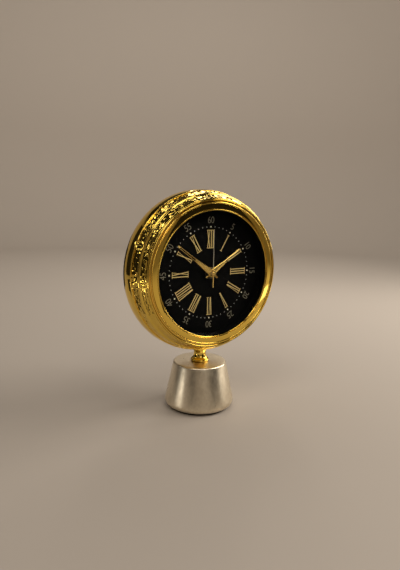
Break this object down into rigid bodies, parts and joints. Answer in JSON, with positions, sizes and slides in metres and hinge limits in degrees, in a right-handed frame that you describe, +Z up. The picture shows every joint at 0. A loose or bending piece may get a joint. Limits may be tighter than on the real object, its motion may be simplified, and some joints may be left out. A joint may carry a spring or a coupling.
{
  "type": "table clock",
  "caption": "Round gilt table clock with a hammered drum case, black dial with Roman hours, and a waisted neck on a tapered metal base.",
  "frame": {"origin": "centre of the foot pad's underside, on the table", "axes": "+Z up through the neck, the dial faces -Y, +X to the right of someone who reads the dial"},
  "size_m": [0.149, 0.0656, 0.2048],
  "materials": {
    "hammered_gilt": "hammered and gilded, bright",
    "polished_gilt": "polished and gilded, mirror bright",
    "gilt_hand": "gilded sheet, fine satin",
    "plain_brass": "satin",
    "satin_silver": "satin, faintly mottled, warm silver",
    "cast_iron": "as cast",
    "zinc_steel": "zinc plated",
    "dark_steel": "blackened",
    "nickel_strip": "nickel plated strip",
    "copper_wire": "enamelled copper winding",
    "magnet_grey": "sintered magnet, matt",
    "clear_glass": "flat polished glass",
    "dial_black": "matt black lacquer",
    "gilt_print": "raised gilt print",
    "cream_print": "raised cream print",
    "black_plastic": "fine moulded texture",
    "cover_plastic": "spark textured",
    "ivory_plastic": "moulded, natural",
    "green_board": "lacquered board",
    "cell_sleeve": "printed sleeve, plain",
    "black_rubber": "matt"
  },
  "bodies": {
    "stand": {"foot_pad": "black_rubber", "base_shell": "satin_silver", "ballast": "cast_iron", "base_washer": "zinc_steel", "base_nut": "zinc_steel", "tie_rod": "zinc_steel", "neck_spool": "polished_gilt", "saddle_washer": "zinc_steel", "head_nut": "zinc_steel", "case_drum": "hammered_gilt", "dial_cup": "zinc_steel", "bezel": "polished_gilt", "glass_seal": "black_rubber", "glass": "clear_glass", "spacer_ring": "black_plastic", "dial_plate": "dial_black", "hour_numerals": "gilt_print", "minute_dots": "cream_print", "dial_washer": "plain_brass", "dial_nut": "dark_steel", "cushion_washer": "black_rubber", "movement_front": "black_plastic", "movement_rear": "black_plastic", "stator": "zinc_steel", "coil_core": "zinc_steel", "coil": "copper_wire", "circuit_board": "green_board", "quartz_crystal": "zinc_steel", "driver_chip": "black_plastic", "plus_contact": "nickel_strip", "minus_contact": "nickel_strip"},
    "minute_train": {"centre_wheel": "ivory_plastic", "minute_hand": "gilt_hand"},
    "hour_train": {"hour_wheel": "ivory_plastic", "hour_hand": "gilt_hand"},
    "seconds_train": {"seconds_wheel": "ivory_plastic", "seconds_hand": "gilt_hand"},
    "third": {"third_wheel": "ivory_plastic"},
    "step": {"step_wheel": "ivory_plastic"},
    "motor": {"rotor": "magnet_grey"},
    "motion": {"minute_wheel": "ivory_plastic"},
    "setting": {"setting_stem": "ivory_plastic", "setting_knob": "ivory_plastic"},
    "cell": {"dry_cell": "cell_sleeve"},
    "cover": {"rear_cover": "cover_plastic"}
  },
  "joints": [
    {"name": "minute_turn", "type": "hinge", "parent": "stand", "child": "minute_train", "pos_m": [0, -0.0142, 0.1303], "axis": [0, 1, 0], "continuous": true},
    {"name": "hour_turn", "type": "hinge", "parent": "stand", "child": "hour_train", "pos_m": [0, -0.0142, 0.1303], "axis": [0, 1, 0], "continuous": true},
    {"name": "seconds_turn", "type": "hinge", "parent": "stand", "child": "seconds_train", "pos_m": [0, -0.0142, 0.1303], "axis": [0, 1, 0], "continuous": true},
    {"name": "third_turn", "type": "hinge", "parent": "stand", "child": "third", "pos_m": [-0.00993, -0.0142, 0.13205], "axis": [0, 1, 0], "continuous": true},
    {"name": "step_turn", "type": "hinge", "parent": "stand", "child": "step", "pos_m": [0.00176, -0.0142, 0.1403], "axis": [0, 1, 0], "continuous": true},
    {"name": "rotor_turn", "type": "hinge", "parent": "stand", "child": "motor", "pos_m": [0.00988, -0.0142, 0.14325], "axis": [0, 1, 0], "continuous": true},
    {"name": "minute_wheel_turn", "type": "hinge", "parent": "stand", "child": "motion", "pos_m": [0.00851, -0.0142, 0.1288], "axis": [0, 1, 0], "continuous": true},
    {"name": "setting_turn", "type": "hinge", "parent": "stand", "child": "setting", "pos_m": [0.01663, -0.0142, 0.13176], "axis": [0, 1, 0], "continuous": true},
    {"name": "cell_lift", "type": "slide", "parent": "stand", "child": "cell", "axis": [0, 1, 0], "range_m": [0, 0.0155]},
    {"name": "cover_pull", "type": "slide", "parent": "stand", "child": "cover", "axis": [0, 1, 0], "range_m": [0, 0.04]}
  ],
  "couplings": [
    {"joint": "hour_turn", "follows": "minute_turn", "ratio": 0.083333},
    {"joint": "seconds_turn", "follows": "minute_turn", "ratio": 60},
    {"joint": "third_turn", "follows": "minute_turn", "ratio": -8},
    {"joint": "step_turn", "follows": "minute_turn", "ratio": -360},
    {"joint": "rotor_turn", "follows": "minute_turn", "ratio": 1800},
    {"joint": "minute_wheel_turn", "follows": "minute_turn", "ratio": -0.33333},
    {"joint": "setting_turn", "follows": "minute_turn", "ratio": 1}
  ]
}
